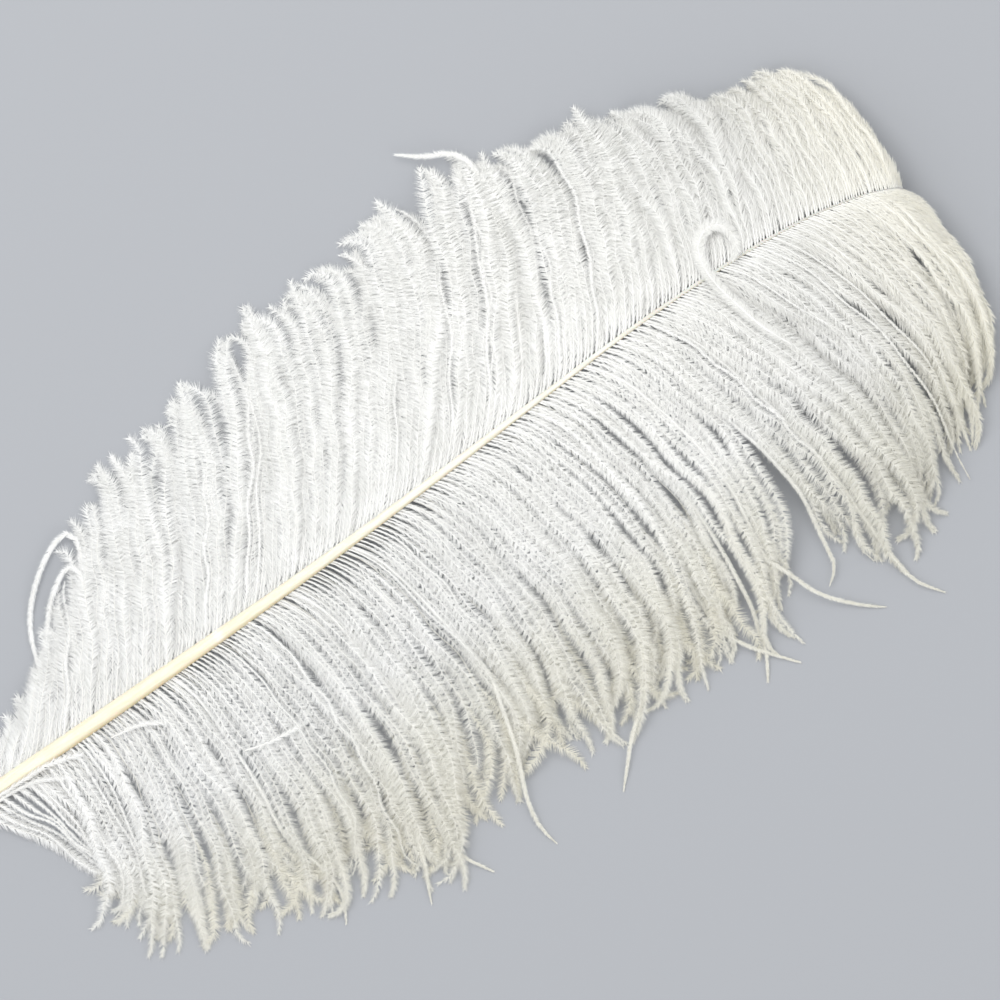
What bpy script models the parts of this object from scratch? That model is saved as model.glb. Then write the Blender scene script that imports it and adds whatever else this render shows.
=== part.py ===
"""An ostrich plume lying on a flat surface: one feather, grown as one piece.

Units are metres and +Z is up. +X runs along the shaft from the quill's end to the curled tip,
and +Y is the side of the shorter vane. The shaft arches off the surface, and the barbs of both
vanes leave it in locks that droop to the surface. Every lock is a loft of flat, crowned sections
whose two edges follow the paths of its outermost barbs. Shaft and locks are fused in one solid.
"""
import math
import random

import bpy
import bmesh
import numpy as np

# ---- driving dimensions, in metres and degrees ---------------------------------------------
# The shaft's middle line: place along, place across, height. The quill's end comes first.
SHAFT_ROUTE = [
    (-0.0480, -0.0015, 0.0040), (-0.0200, -0.0006, 0.0060), (0.0000, 0.0000, 0.0080),
    (0.0500, 0.0006, 0.0135), (0.1280, 0.0024, 0.0230), (0.1900, 0.0046, 0.0310),
    (0.2590, 0.0085, 0.0390), (0.3200, 0.0126, 0.0450), (0.3710, 0.0156, 0.0485),
    (0.4250, 0.0160, 0.0490), (0.4620, 0.0135, 0.0460), (0.4890, 0.0085, 0.0395),
    (0.5050, 0.0030, 0.0295), (0.5105, -0.0005, 0.0180),
]
# The shaft's radius at places along it.
SHAFT_RADII = [
    (-0.0480, 0.0009), (-0.0466, 0.0017), (-0.0400, 0.0025), (-0.0250, 0.0033), (0.0000, 0.0038),
    (0.0600, 0.0038), (0.1000, 0.0035), (0.1500, 0.0030), (0.1900, 0.0026), (0.2650, 0.0019),
    (0.3850, 0.0009), (0.4900, 0.0006), (0.5200, 0.0005),
]
SHAFT_RINGS = 46
SHAFT_BEVEL_RESOLUTION = 2
FIRST_BARB = -0.020  # place along the shaft where the vanes begin

# Both vanes. Station: 0 at the first barbs, 1 at the shaft's tip. Then a barb's length in plan,
# and its heading from +X where it leaves the shaft, half way out and at its end.
LEFT_VANE = [
    (0.00, 0.034, 28, 32, 44), (0.03, 0.042, 34, 38, 52), (0.075, 0.067, 47, 53, 66),
    (0.115, 0.090, 52, 56, 70), (0.15, 0.108, 52, 57, 73), (0.24, 0.130, 49, 57, 76),
    (0.32, 0.135, 45, 57, 79), (0.42, 0.138, 41, 57, 82), (0.51, 0.141, 38, 57, 84),
    (0.60, 0.124, 41, 61, 85), (0.66, 0.119, 45, 64, 88), (0.76, 0.100, 50, 70, 94),
    (0.87, 0.079, 60, 80, 110), (0.95, 0.073, 69, 87, 126), (1.00, 0.079, 73, 88, 138),
]
RIGHT_VANE = [
    (0.00, 0.080, -54, -58, -88), (0.03, 0.076, -56, -63, -99), (0.055, 0.075, -66, -80, -116),
    (0.085, 0.090, -74, -96, -122), (0.145, 0.122, -60, -92, -122), (0.24, 0.144, -52, -88, -120),
    (0.37, 0.157, -46, -82, -119), (0.46, 0.148, -44, -79, -118), (0.53, 0.151, -42, -78, -118),
    (0.60, 0.160, -43, -76, -117), (0.66, 0.165, -43, -75, -115), (0.74, 0.156, -44, -72, -112),
    (0.80, 0.163, -45, -71, -118), (0.87, 0.140, -45, -71, -130), (0.94, 0.111, -50, -79, -144),
    (1.00, 0.098, -58, -88, -152),
]
VANES = {"left": LEFT_VANE, "right": RIGHT_VANE}
EASE = 0.03  # share of a table's reach over which its corners are eased
ROOT_BEND = 0.28  # share of a barb's length by which it has left its root's heading
END_BEND_FROM = 0.30  # share of the length from which it turns to its end's heading
END_BEND_POWER = 1.6
PATH_STEPS = 4  # of a barb's path, for each ring of its lock

LOCKS = {"left": 28, "right": 31}
LOCK_RINGS = 9
LOCK_END_HEIGHT = 0.0035  # middle of a lock's end above the surface
DROOP = 1.8  # power of the fall from the shaft to the surface
LEAST_HALF_WIDTH = 0.0010  # of a lock anywhere
SKEW_ENDS = 0.4  # a lock's sections lie along the shaft at the root, and square to it from here
LOCK_THICKNESS = [(0.0, 0.0010), (0.25, 0.0016), (0.70, 0.0018), (0.92, 0.0014), (1.0, 0.0008)]
# Share of a lock's stretch of shaft that its two edges span, from its root to its end.
LOCK_SPREAD = [(0.0, 1.10), (0.35, 1.12), (0.65, 1.08), (0.82, 0.92), (0.94, 0.55), (1.0, 0.14)]
# A lock's section, as shares of half its width and of half its thickness.
SECTION = [(-1.0, 0.0), (-0.5, 0.85), (0.5, 0.85), (1.0, 0.0), (0.0, -0.75)]

# How far locks stray from the even field, as the most to either side.
HEADING_STRAY = 4.5  # degrees at the end
STRAY_BY = 0.6  # share of the length by which a lock has its whole stray
END_CURL = 30.0  # degrees more, from the share of the length that follows
CURL_FROM = 0.72
LENGTH_STRAY = 0.07  # share of the length
LAYER_LIFT = 0.0016  # alternate locks lie over and under
HEIGHT_STRAY = 0.0012
LIFT_TO = 0.9  # share of the length over which a lock lies higher or lower
LIFT_POWER = 0.7
LOCK_SEEDS = {"left": 365, "right": 244}

# Where a vane is parted: its side, the station, how far it opens in degrees, and how far out.
PARTINGS = [("right", 0.69, 10.0, 0.42), ("right", 0.835, 5.0, 0.40), ("right", 0.61, 7.0, 0.55),
            ("right", 0.38, 7.0, 0.52), ("left", 0.81, 4.0, 0.10)]
PARTING_WIDTH = 0.05  # share of the vane's length that leans away on either side
PARTING_RISE = 10.0  # the whole lean is reached by this part of that width
PARTING_LENGTH = 0.15  # share of a barb's length over which it comes to lean

# Single strands that leave the vane: side, lock that each grows from, share of the lock's
# length where it leaves it, and the route from there to its end.
STRANDS = [
    ("left", 16, 0.90, [(0.3469, 0.1238, 0.010), (0.3410, 0.1328, 0.010), (0.3304, 0.1381, 0.009),
        (0.3199, 0.1461, 0.007)]),
    ("left", 3, 0.86, [(0.0933, 0.0763, 0.007), (0.0918, 0.0824, 0.007), (0.0850, 0.0824, 0.006),
        (0.0727, 0.0758, 0.006), (0.0601, 0.0662, 0.005), (0.0514, 0.0539, 0.004),
        (0.0441, 0.0351, 0.004)]),
    ("left", 3, 0.66, [(0.0845, 0.0579, 0.010), (0.0861, 0.0653, 0.009), (0.0829, 0.0691, 0.008),
        (0.0763, 0.0667, 0.007), (0.0669, 0.0594, 0.006), (0.0567, 0.0482, 0.004),
        (0.0489, 0.0364, 0.004)]),
    ("right", 16, 0.84, [(0.2771, -0.1315, 0.010), (0.2615, -0.1449, 0.007),
        (0.2440, -0.1644, 0.003)]),
    ("right", 12, 0.60, [(0.2180, -0.0981, 0.017), (0.2125, -0.1192, 0.013),
        (0.2040, -0.1406, 0.008), (0.2013, -0.1558, 0.005), (0.2036, -0.1675, 0.003)]),
    ("right", 10, 0.84, [(0.1613, -0.1293, 0.009), (0.1626, -0.1460, 0.006),
        (0.1710, -0.1622, 0.003)]),
    ("right", 9, 0.80, [(0.1492, -0.1314, 0.009), (0.1445, -0.1453, 0.006), (0.1384, -0.1587, 0.003)]),
    ("right", 18, 0.80, [(0.3232, -0.1181, 0.012), (0.3282, -0.1360, 0.007),
        (0.3469, -0.1597, 0.003)]),
    ("right", 20, 0.78, [(0.3643, -0.1188, 0.014), (0.3714, -0.1354, 0.009),
        (0.3826, -0.1501, 0.005), (0.3951, -0.1601, 0.003)]),
    ("right", 22, 0.84, [(0.4107, -0.1399, 0.009), (0.4137, -0.1566, 0.006),
        (0.4223, -0.1701, 0.003)]),
    ("right", 21, 0.88, [(0.3874, -0.1206, 0.009), (0.3860, -0.1304, 0.007),
        (0.3793, -0.1372, 0.004)]),
    ("right", 19, 0.90, [(0.3394, -0.1344, 0.007), (0.3364, -0.1466, 0.005),
        (0.3292, -0.1592, 0.003)]),
    ("right", 6, 0.70, [(0.0994, -0.0985, 0.008), (0.1049, -0.1157, 0.007),
        (0.1056, -0.1308, 0.005), (0.0993, -0.1446, 0.003)]),
]
STRAND_RADIUS = (0.0017, 0.0006)  # where it leaves the lock, and at its end
STRAND_RINGS = 8
STRAND_HOLD = 0.12  # share of its lock's length that a strand lies in it
# One lock of the longer vane is turned back over the shaft and ends in a ring.
RING_STRAND = ("right", 24, 0.28, [
    (0.4309, -0.0293, 0.0440), (0.4289, -0.0342, 0.0450), (0.4238, -0.0325, 0.0460),
    (0.4184, -0.0193, 0.0485), (0.4139, -0.0040, 0.0510), (0.4103, 0.0119, 0.0535),
    (0.4105, 0.0259, 0.0535), (0.4159, 0.0331, 0.0525), (0.4246, 0.0352, 0.0515),
    (0.4294, 0.0280, 0.0515), (0.4285, 0.0207, 0.0520), (0.4232, 0.0169, 0.0535)])
RING_STRAND_RADIUS = (0.0026, 0.0010)
RING_STRAND_RINGS = 18

BARB_COLOUR = (0.88, 0.88, 0.86, 1.0)
BARB_ROUGHNESS = 0.8


# ---- smooth values along the feather --------------------------------------------------------
def table_value(rows, column, place):
    """A column of a table at a place, eased over the corners between its rows."""
    places = [row[0] for row in rows]
    values = [row[column] for row in rows]
    ease = EASE * (places[-1] - places[0])
    near = [min(max(place + ease * k / 2, places[0]), places[-1]) for k in range(-2, 3)]
    return float(np.mean(np.interp(near, places, values)))


def smooth_route(points, steps=24):
    """Points of a Catmull-Rom curve through a route."""
    route = np.array(points)
    route = np.vstack([2 * route[0] - route[1], route, 2 * route[-1] - route[-2]])
    curve = []
    for before, start, end, after in zip(route, route[1:], route[2:], route[3:]):
        for step in range(steps):
            u = step / steps
            curve.append(0.5 * (2 * start + (end - before) * u
                                + (2 * before - 5 * start + 4 * end - after) * u ** 2
                                + (3 * start - before - 3 * end + after) * u ** 3))
    curve.append(route[-2])
    return np.array(curve)


def lengths_along(curve):
    return np.concatenate([[0.0], np.cumsum(np.linalg.norm(np.diff(curve, axis=0), axis=1))])


def resample(curve, count):
    """The same curve with its points evenly spaced."""
    along = lengths_along(curve)
    even = np.linspace(0.0, along[-1], count)
    return np.stack([np.interp(even, along, curve[:, axis]) for axis in range(3)], axis=1)


SHAFT_CURVE = smooth_route(SHAFT_ROUTE)
SHAFT_ALONG = lengths_along(SHAFT_CURVE)
VANE_START = float(np.interp(FIRST_BARB, SHAFT_CURVE[:, 0], SHAFT_ALONG))


def shaft_point(station):
    """The shaft's middle line at a station of the vanes."""
    along = VANE_START + station * (SHAFT_ALONG[-1] - VANE_START)
    return np.array([np.interp(along, SHAFT_ALONG, SHAFT_CURVE[:, axis]) for axis in range(3)])


# ---- barb paths -----------------------------------------------------------------------------
class Stray:
    """One lock's own way: how it departs from the even field."""

    def __init__(self, rng, order):
        self.heading = math.radians(rng.uniform(-HEADING_STRAY, HEADING_STRAY))
        self.curl = math.radians(rng.uniform(-END_CURL, END_CURL))
        self.length = 1.0 + rng.uniform(-LENGTH_STRAY, LENGTH_STRAY)
        layer = LAYER_LIFT if order % 2 else -0.5 * LAYER_LIFT
        self.lift = layer + rng.uniform(-HEIGHT_STRAY, HEIGHT_STRAY)


def parting(side, station, out):
    """How far the partings turn a barb at a share of its length, in radians."""
    turn = 0.0
    for where, middle, opens, starts in PARTINGS:
        if where == side:
            away = (station - middle) / PARTING_WIDTH
            lean = math.copysign(math.exp(-abs(away)), away) * min(abs(away) * PARTING_RISE, 1.0)
            turn += math.radians(opens) * lean * min(max((out - starts) / PARTING_LENGTH, 0.0), 1.0)
    return turn if side == "right" else -turn


def barb_path(side, station, stray, count):
    """Points of one barb from the shaft's middle line to its end, lying in the lock's way."""
    vane = VANES[side]
    station = min(max(station, 0.0), 1.0)
    root = shaft_point(station)
    length = table_value(vane, 1, station) * stray.length
    at_root, half_way, at_end = (
        math.radians(table_value(vane, column, station)) for column in (2, 3, 4))
    steps = (count - 1) * PATH_STEPS
    place = root[:2].copy()
    points = [root]
    for step in range(steps):
        v = (step + 0.5) / steps
        early = min(v / ROOT_BEND, 1.0)
        late = max((v - END_BEND_FROM) / (1 - END_BEND_FROM), 0.0)
        last = max((v - CURL_FROM) / (1 - CURL_FROM), 0.0)
        heading = (at_root + (half_way - at_root) * early * (2 - early)
                   + (at_end - half_way) * late ** END_BEND_POWER
                   + stray.heading * min(v / STRAY_BY, 1.0) + stray.curl * last
                   + parting(side, station, v))
        place = place + np.array([math.cos(heading), math.sin(heading)]) * length / steps
        if (step + 1) % PATH_STEPS == 0:
            out = (step + 1) / steps
            fall = (root[2] - LOCK_END_HEIGHT) * out ** DROOP
            lift = stray.lift * math.sin(math.pi * min(out / LIFT_TO, 1.0)) ** LIFT_POWER
            points.append(np.array([place[0], place[1], root[2] - fall + lift]))
    return np.array(points)


# ---- solids ---------------------------------------------------------------------------------
def loft(name, sections, collection):
    """A closed mesh through rings of points, its first end flat and its last end a point."""
    mesh = bpy.data.meshes.new(name)
    build = bmesh.new()
    rings = [[build.verts.new(point) for point in ring] for ring in sections[:-1]]
    sides = len(rings[0])
    for ring, following in zip(rings, rings[1:]):
        for k in range(sides):
            nxt = (k + 1) % sides
            build.faces.new((ring[k], ring[nxt], following[nxt], following[k]))
    tip = build.verts.new(np.mean(sections[-1], axis=0))
    for k in range(sides):
        build.faces.new((rings[-1][k], rings[-1][(k + 1) % sides], tip))
    build.faces.new(rings[0][::-1])
    bmesh.ops.triangulate(build, faces=build.faces)
    bmesh.ops.recalc_face_normals(build, faces=build.faces)
    build.to_mesh(mesh)
    build.free()
    piece = bpy.data.objects.new(name, mesh)
    collection.objects.link(piece)
    return piece


def make_shaft(name, collection):
    """The quill and shaft: a tapering tube with filled caps, made a mesh to take the union."""
    points = resample(SHAFT_CURVE, SHAFT_RINGS)
    data = bpy.data.curves.new(name, "CURVE")
    data.dimensions = "3D"
    data.bevel_depth = 1.0
    data.bevel_resolution = SHAFT_BEVEL_RESOLUTION
    data.use_fill_caps = True
    spline = data.splines.new("POLY")
    spline.points.add(len(points) - 1)
    for target, point in zip(spline.points, points):
        target.co = (*point, 1.0)
        target.radius = table_value(SHAFT_RADII, 1, point[0])
    tube = bpy.data.objects.new(name + "_tube", data)
    collection.objects.link(tube)
    bpy.context.view_layer.update()
    mesh = bpy.data.meshes.new_from_object(tube.evaluated_get(bpy.context.evaluated_depsgraph_get()))
    build = bmesh.new()
    build.from_mesh(mesh)
    bmesh.ops.remove_doubles(build, verts=build.verts, dist=1e-6)
    bmesh.ops.recalc_face_normals(build, faces=build.faces)
    build.to_mesh(mesh)
    build.free()
    mesh.name = name
    shaft = bpy.data.objects.new(name, mesh)
    shaft.matrix_world = tube.matrix_world
    bpy.data.objects.remove(tube)
    collection.objects.link(shaft)
    return shaft


def unit(vector):
    return vector / np.linalg.norm(vector)


def make_lock(name, side, station, reach, stray, collection):
    """One lock: its edges follow barbs rooted half its stretch before and after its middle."""
    middle = barb_path(side, station, stray, LOCK_RINGS)
    before = barb_path(side, station - reach, stray, LOCK_RINGS)
    after = barb_path(side, station + reach, stray, LOCK_RINGS)
    sections = []
    aside = unit(after[0] - before[0])
    for ring in range(LOCK_RINGS):
        v = ring / (LOCK_RINGS - 1)
        spread = 0.5 * np.interp(v, *zip(*LOCK_SPREAD))
        half = np.interp(v, *zip(*LOCK_THICKNESS))
        edge = (after[ring] - before[ring]) * spread
        ahead = unit(middle[min(ring + 1, LOCK_RINGS - 1)] - middle[max(ring - 1, 0)])
        # The section turns with the path and never folds over, even where barbs meet.
        aside = unit(aside - ahead * np.dot(aside, ahead))
        up = np.cross(ahead, aside)
        width = max(np.dot(edge, aside), LEAST_HALF_WIDTH)
        roll = np.clip(np.dot(edge, up), -width, width)
        skew = np.dot(edge, ahead) * max(1.0 - v / SKEW_ENDS, 0.0)
        across = aside * width + up * roll + ahead * skew
        aside = unit(aside * width + up * roll)
        up = np.cross(ahead, aside) * (-1.0 if side == "left" else 1.0)
        sections.append([middle[ring] + across * a + up * half * b for a, b in SECTION])
    loft(name, sections, collection)
    return middle


def make_strand(name, leaves, route, radii, rings, collection):
    """A single strand: a slim square tube that grows out of a lock and tapers to its end."""
    path = resample(smooth_route([*leaves, *route], steps=8), rings)
    sections = []
    for ring, point in enumerate(path):
        ahead = unit(path[min(ring + 1, rings - 1)] - path[max(ring - 1, 0)])
        aside = unit(np.cross(ahead, (0.0, 0.0, 1.0)))
        up = np.cross(aside, ahead)
        radius = radii[0] + (radii[1] - radii[0]) * ring / (rings - 1)
        sections.append([point + (aside * a + up * b) * radius
                         for a, b in ((-1, 0), (0, 1), (1, 0), (0, -1))])
    loft(name, sections, collection)


def make_vanes(collection):
    """Both vanes' locks, then the strands that grow out of them."""
    middles = {}
    for side, count in LOCKS.items():
        rng = random.Random(LOCK_SEEDS[side])
        for order in range(count):
            middles[side, order] = make_lock(
                f"{side}_lock_{order:02d}", side, (order + 0.5) / count, 0.5 / count,
                Stray(rng, order), collection)
    strands = [(*strand, STRAND_RADIUS, STRAND_RINGS) for strand in STRANDS]
    strands.append((*RING_STRAND, RING_STRAND_RADIUS, RING_STRAND_RINGS))
    for order, (side, lock, leaves_at, route, radii, rings) in enumerate(strands):
        middle = middles[side, lock]
        places = (leaves_at - STRAND_HOLD, leaves_at)
        share = np.linspace(0.0, 1.0, LOCK_RINGS)
        leaves = [[np.interp(v, share, middle[:, axis]) for axis in range(3)] for v in places]
        make_strand(f"strand_{order:02d}", leaves, route, radii, rings, collection)


def fuse(target, cutters):
    union = target.modifiers.new("fuse", "BOOLEAN")
    union.operation = "UNION"
    union.solver = "EXACT"
    union.operand_type = "COLLECTION"
    union.collection = cutters


def settle(feather, locks):
    """Moves shaft and locks together until the fused feather's footprint is at the origin."""
    bpy.context.view_layer.update()
    mesh = feather.evaluated_get(bpy.context.evaluated_depsgraph_get()).to_mesh()
    corners = np.array([vertex.co[:] for vertex in mesh.vertices])
    low, high = corners.min(axis=0), corners.max(axis=0)
    middle = (low + high) / 2
    for piece in [feather, *locks.objects]:
        piece.location = (-middle[0], -middle[1], -low[2])


def make_material():
    material = bpy.data.materials.new("barbs")
    material.use_nodes = True
    shader = material.node_tree.nodes["Principled BSDF"]
    shader.inputs["Base Color"].default_value = BARB_COLOUR
    shader.inputs["Roughness"].default_value = BARB_ROUGHNESS
    shader.inputs["Metallic"].default_value = 0.0
    return material


def main():
    for leftover in list(bpy.data.objects):
        bpy.data.objects.remove(leftover)
    parts = bpy.data.collections.new("ostrich_feather")
    locks = bpy.data.collections.new("locks")
    for collection in (parts, locks):
        bpy.context.scene.collection.children.link(collection)
    make_vanes(locks)
    for lock in locks.objects:
        lock.hide_render = True
        lock.display_type = "WIRE"
    feather = make_shaft("feather", parts)
    feather.data.materials.append(make_material())
    fuse(feather, locks)
    settle(feather, locks)


main()
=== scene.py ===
"""The looks of an ostrich plume: its shaft, and both vanes' barbs with their barbules, all as mesh.

Units are metres and +Z is up. A barb is the thin rod that leaves the shaft, and its barbules are
the fine hairs on both sides of it. They are worked out for a whole vane at once, as arrays.
"""
import math
import random

import bpy
import numpy as np
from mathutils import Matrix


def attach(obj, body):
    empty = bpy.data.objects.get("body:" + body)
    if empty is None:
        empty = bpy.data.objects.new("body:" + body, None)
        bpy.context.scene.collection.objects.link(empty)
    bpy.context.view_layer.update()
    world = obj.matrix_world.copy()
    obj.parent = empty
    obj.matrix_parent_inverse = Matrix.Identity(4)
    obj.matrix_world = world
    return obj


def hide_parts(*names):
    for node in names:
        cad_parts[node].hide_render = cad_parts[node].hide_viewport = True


# ---- the feather's own field, as the solid has it ------------------------------------------
# The field's frame has its origin 20 mm past the first barbs. The solid's footprint is centred.
FIELD_TO_FRAME = np.array([-0.234998, 0.012000, -0.0023619])

SHAFT_ROUTE = [
    (-0.0480, -0.0015, 0.0040), (-0.0200, -0.0006, 0.0060), (0.0000, 0.0000, 0.0080),
    (0.0500, 0.0006, 0.0135), (0.1280, 0.0024, 0.0230), (0.1900, 0.0046, 0.0310),
    (0.2590, 0.0085, 0.0390), (0.3200, 0.0126, 0.0450), (0.3710, 0.0156, 0.0485),
    (0.4250, 0.0160, 0.0490), (0.4620, 0.0135, 0.0460), (0.4890, 0.0085, 0.0395),
    (0.5050, 0.0030, 0.0295), (0.5105, -0.0005, 0.0180),
]
SHAFT_RADII = [
    (-0.0480, 0.0009), (-0.0466, 0.0017), (-0.0400, 0.0025), (-0.0250, 0.0033), (0.0000, 0.0038),
    (0.0600, 0.0038), (0.1000, 0.0035), (0.1500, 0.0030), (0.1900, 0.0026), (0.2650, 0.0019),
    (0.3850, 0.0009), (0.4900, 0.0006), (0.5200, 0.0005),
]
FIRST_BARB = -0.020
# Station along the shaft, a barb's length, and its heading at its root, half way and at its end.
LEFT_VANE = [
    (0.00, 0.034, 28, 32, 44), (0.03, 0.042, 34, 38, 52), (0.075, 0.067, 47, 53, 66),
    (0.115, 0.090, 52, 56, 70), (0.15, 0.108, 52, 57, 73), (0.24, 0.130, 49, 57, 76),
    (0.32, 0.135, 45, 57, 79), (0.42, 0.138, 41, 57, 82), (0.51, 0.141, 38, 57, 84),
    (0.60, 0.124, 41, 61, 85), (0.66, 0.119, 45, 64, 88), (0.76, 0.100, 50, 70, 94),
    (0.87, 0.079, 60, 80, 110), (0.95, 0.073, 69, 87, 126), (1.00, 0.079, 73, 88, 138),
]
RIGHT_VANE = [
    (0.00, 0.080, -54, -58, -88), (0.03, 0.076, -56, -63, -99), (0.055, 0.075, -66, -80, -116),
    (0.085, 0.090, -74, -96, -122), (0.145, 0.122, -60, -92, -122), (0.24, 0.144, -52, -88, -120),
    (0.37, 0.157, -46, -82, -119), (0.46, 0.148, -44, -79, -118), (0.53, 0.151, -42, -78, -118),
    (0.60, 0.160, -43, -76, -117), (0.66, 0.165, -43, -75, -115), (0.74, 0.156, -44, -72, -112),
    (0.80, 0.163, -45, -71, -118), (0.87, 0.140, -45, -71, -130), (0.94, 0.111, -50, -79, -144),
    (1.00, 0.098, -58, -88, -152),
]
VANES = {"left": LEFT_VANE, "right": RIGHT_VANE}
EASE = 0.03  # share of a table's reach, to each side, over which its corners are eased
# Shares of a barb's length by which, or from which, it bends.
ROOT_BEND = 0.28
END_BEND_FROM = 0.30
STRAY_BY = 0.6
CURL_FROM = 0.72
HOOK_FROM = 0.9
LIFT_TO = 0.9
END_BEND_POWER = 1.6
LIFT_POWER = 0.7
DROOP = 1.8  # power by which a barb falls from the shaft to the height of the locks' ends
LOCK_END_HEIGHT = 0.0035
LOCKS = {"left": 28, "right": 31}
LOCK_SEEDS = {"left": 365, "right": 244}
# How far one lock may depart from the field: in degrees, as a share, and in metres.
HEADING_STRAY = 4.5
END_CURL = 30.0
LENGTH_STRAY = 0.07
LAYER_LIFT = 0.0016
HEIGHT_STRAY = 0.0012
# A parting's vane and station, the degrees that it opens to each side, and where it starts, as a
# share of the barbs' length.
PARTINGS = [("right", 0.69, 10.0, 0.42), ("right", 0.835, 5.0, 0.40), ("right", 0.61, 7.0, 0.55),
            ("right", 0.38, 7.0, 0.52), ("left", 0.81, 4.0, 0.10)]
PARTING_WIDTH = 0.05  # stations to each side over which it fades
PARTING_RISE = 10.0  # how soon, in such widths, it turns the barbs beside it fully
PARTING_LENGTH = 0.15  # share of the barbs' length over which it opens
# A strand's vane and lock, where it leaves the lock's path, and its route from there.
STRANDS = [
    ("left", 16, 0.90, [(0.3469, 0.1238, 0.010), (0.3410, 0.1328, 0.010), (0.3304, 0.1381, 0.009),
        (0.3199, 0.1461, 0.007)]),
    ("left", 3, 0.86, [(0.0933, 0.0763, 0.007), (0.0918, 0.0824, 0.007), (0.0850, 0.0824, 0.006),
        (0.0727, 0.0758, 0.006), (0.0601, 0.0662, 0.005), (0.0514, 0.0539, 0.004),
        (0.0441, 0.0351, 0.004)]),
    ("left", 3, 0.66, [(0.0845, 0.0579, 0.010), (0.0861, 0.0653, 0.009), (0.0829, 0.0691, 0.008),
        (0.0763, 0.0667, 0.007), (0.0669, 0.0594, 0.006), (0.0567, 0.0482, 0.004),
        (0.0489, 0.0364, 0.004)]),
    ("right", 16, 0.84, [(0.2771, -0.1315, 0.010), (0.2615, -0.1449, 0.007),
        (0.2440, -0.1644, 0.003)]),
    ("right", 12, 0.60, [(0.2180, -0.0981, 0.017), (0.2125, -0.1192, 0.013),
        (0.2040, -0.1406, 0.008), (0.2013, -0.1558, 0.005), (0.2036, -0.1675, 0.003)]),
    ("right", 10, 0.84, [(0.1613, -0.1293, 0.009), (0.1626, -0.1460, 0.006),
        (0.1710, -0.1622, 0.003)]),
    ("right", 9, 0.80, [(0.1492, -0.1314, 0.009), (0.1445, -0.1453, 0.006),
        (0.1384, -0.1587, 0.003)]),
    ("right", 18, 0.80, [(0.3232, -0.1181, 0.012), (0.3282, -0.1360, 0.007),
        (0.3469, -0.1597, 0.003)]),
    ("right", 20, 0.78, [(0.3643, -0.1188, 0.014), (0.3714, -0.1354, 0.009),
        (0.3826, -0.1501, 0.005), (0.3951, -0.1601, 0.003)]),
    ("right", 22, 0.84, [(0.4107, -0.1399, 0.009), (0.4137, -0.1566, 0.006),
        (0.4223, -0.1701, 0.003)]),
    ("right", 21, 0.88, [(0.3874, -0.1206, 0.009), (0.3860, -0.1304, 0.007),
        (0.3793, -0.1372, 0.004)]),
    ("right", 19, 0.90, [(0.3394, -0.1344, 0.007), (0.3364, -0.1466, 0.005),
        (0.3292, -0.1592, 0.003)]),
    ("right", 6, 0.70, [(0.0994, -0.0985, 0.008), (0.1049, -0.1157, 0.007),
        (0.1056, -0.1308, 0.005), (0.0993, -0.1446, 0.003)]),
]
# One more comes up from under the right vane and coils into a small ring on top of the shaft.
RING_ROUTE = [
    (0.4400, -0.0700, 0.0270), (0.4335, -0.0500, 0.0350), (0.4250, -0.0325, 0.0440),
    (0.4184, -0.0193, 0.0485), (0.4139, -0.0040, 0.0510), (0.4103, 0.0119, 0.0535),
    (0.4105, 0.0259, 0.0535), (0.4159, 0.0331, 0.0525), (0.4246, 0.0352, 0.0515),
    (0.4294, 0.0280, 0.0515), (0.4285, 0.0207, 0.0520), (0.4232, 0.0169, 0.0535),
]

# ---- barbs -----------------------------------------------------------------------------------
BARB_SEEDS = {"left": 49628, "right": 97865}
BARB_SPACING = [(0.0, 0.0023), (0.7, 0.0022), (0.84, 0.0016), (1.0, 0.0012)]  # along the shaft
ROOT_STRAY = 0.25  # of the spacing, to either side
FINE_STEPS = 1000  # steps along the shaft over which the barbs are counted
BARB_POINTS = 29
CALM_TO_TIP = [(0.0, 1.0), (0.78, 1.0), (0.9, 0.4), (1.0, 0.2)]  # how much a bundle strays
# A bundle is a few neighbours that cling together. Its angles are in degrees, to either side.
BUNDLE_SIZES = {"left": (1, 1, 2, 2, 3), "right": (1, 2, 2, 3)}
BUNDLE_HEADING = {"left": 1.6, "right": 3.0}
BUNDLE_CURL = {"left": 28.0, "right": 38.0}
BUNDLE_HOOK = {"left": (35.0, 60.0), "right": (0.0, 70.0)}  # middle and spread
BUNDLE_LENGTH = {"left": 0.05, "right": 0.085}
BUNDLE_LIFT = 0.0018
HOOK_TO_TIP = {"left": [(0.0, 0.0), (0.78, 0.0), (0.88, 60.0), (1.0, 80.0)],
               "right": [(0.0, 0.0), (1.0, 0.0)]}
# How far the barbs of a bundle have come together, by their share of length.
BUNDLE_GATHER = {
    "left": [(0.0, 0.0), (0.6, 0.0), (0.85, 0.25), (1.0, 0.6)],
    "right": [(0.0, 0.0), (0.4, 0.0), (0.6, 0.25), (0.8, 0.6), (1.0, 0.85)],
}
GATHER_IN_HEIGHT = 0.5  # share of that by which they come together in height
LOOSE_GATHER = 0.3  # share of it that the straying and the bare barbs keep
# How far one barb departs from its bundle.
BARB_HEADING = 1.8
BARB_CURL = 18.0
BARB_LENGTH = 0.05
BARB_LIFT = 0.0010
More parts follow.
